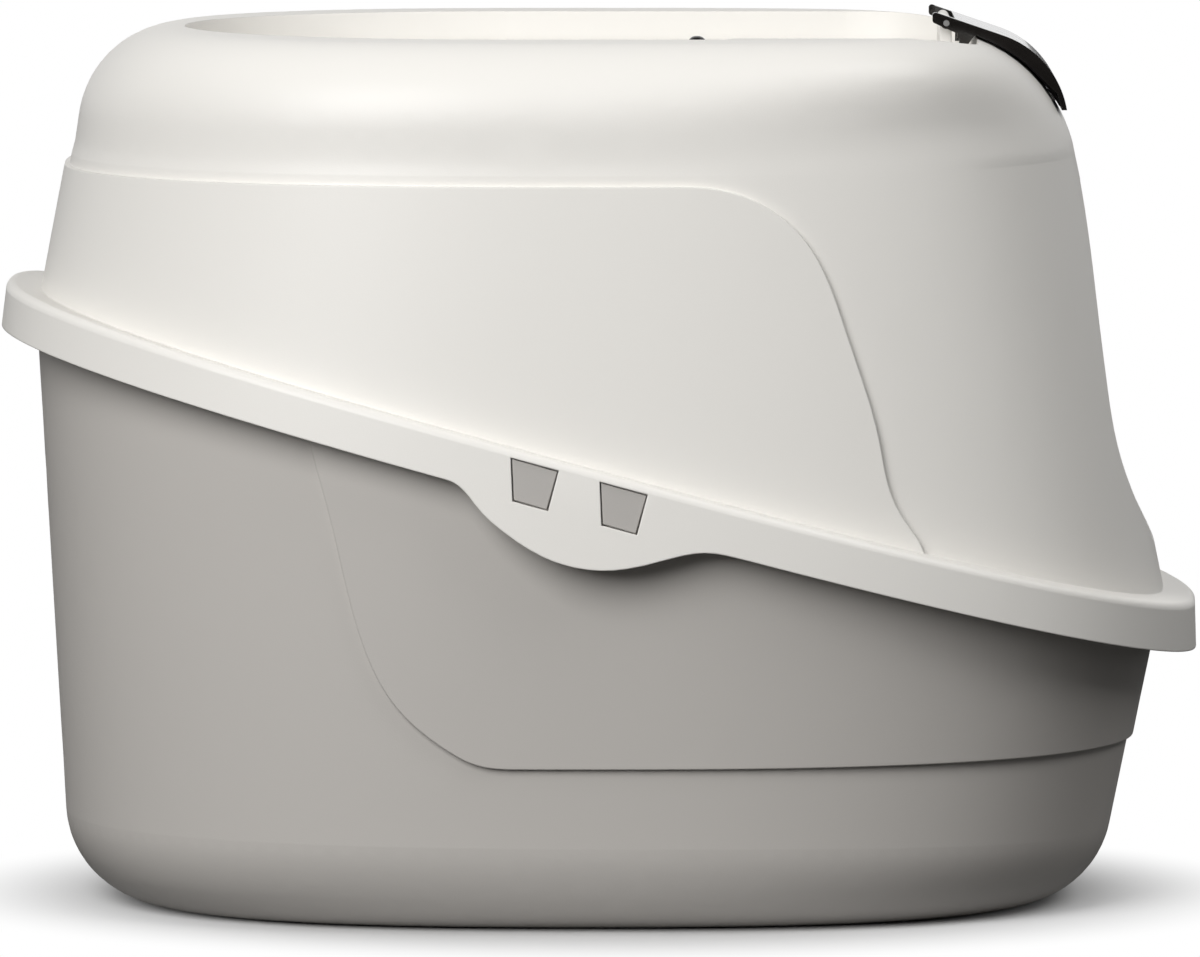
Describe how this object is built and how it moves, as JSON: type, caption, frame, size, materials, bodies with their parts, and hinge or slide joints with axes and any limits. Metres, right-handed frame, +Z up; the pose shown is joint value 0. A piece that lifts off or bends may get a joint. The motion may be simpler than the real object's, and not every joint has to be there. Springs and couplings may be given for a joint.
{
  "type": "covered litter box",
  "caption": "Oval covered litter box: a deep pan under a lift-off hood with an egg-shaped doorway and a hinged, filtered top lid held by a black latch.",
  "frame": {"origin": "on the floor, centred in length and width under the rim", "axes": "+X to the front with the doorway, +Y to the left side, +Z up"},
  "size_m": [0.6103, 0.47, 0.4526],
  "materials": {
    "pan_plastic": "satin warm grey",
    "hood_plastic": "satin warm white",
    "black_plastic": "gloss black",
    "charcoal": "open fibre pad",
    "steel_rod": "drawn wire"
  },
  "bodies": {
    "pan": {"litter_pan": "pan_plastic", "pan_snap_lugs": "pan_plastic"},
    "hood": {"hood": "hood_plastic", "lid_hinge_rod": "steel_rod"},
    "lid": {"top_lid": "hood_plastic", "latch_pin": "steel_rod"},
    "latch": {"latch_handle": "black_plastic"},
    "filter": {"filter_cover": "hood_plastic", "filter_knob": "black_plastic", "charcoal_filter": "charcoal"}
  },
  "joints": [
    {"name": "hood_lift", "type": "slide", "parent": "pan", "child": "hood", "axis": [0, 0, 1], "range_m": [0, 0.15], "deforming": ["pan_snap_lugs"]},
    {"name": "lid_hinge", "type": "hinge", "parent": "hood", "child": "lid", "pos_m": [-0.17, 0, 0.4305], "axis": [0, -1, 0], "range_deg": [0, 95]},
    {"name": "latch_pivot", "type": "hinge", "parent": "lid", "child": "latch", "pos_m": [0.1755, 0, 0.4472], "axis": [0, -1, 0], "range_deg": [0, 60]},
    {"name": "filter_cover_lift", "type": "slide", "parent": "lid", "child": "filter", "axis": [0, 0, 1], "range_m": [0, 0.04]}
  ]
}
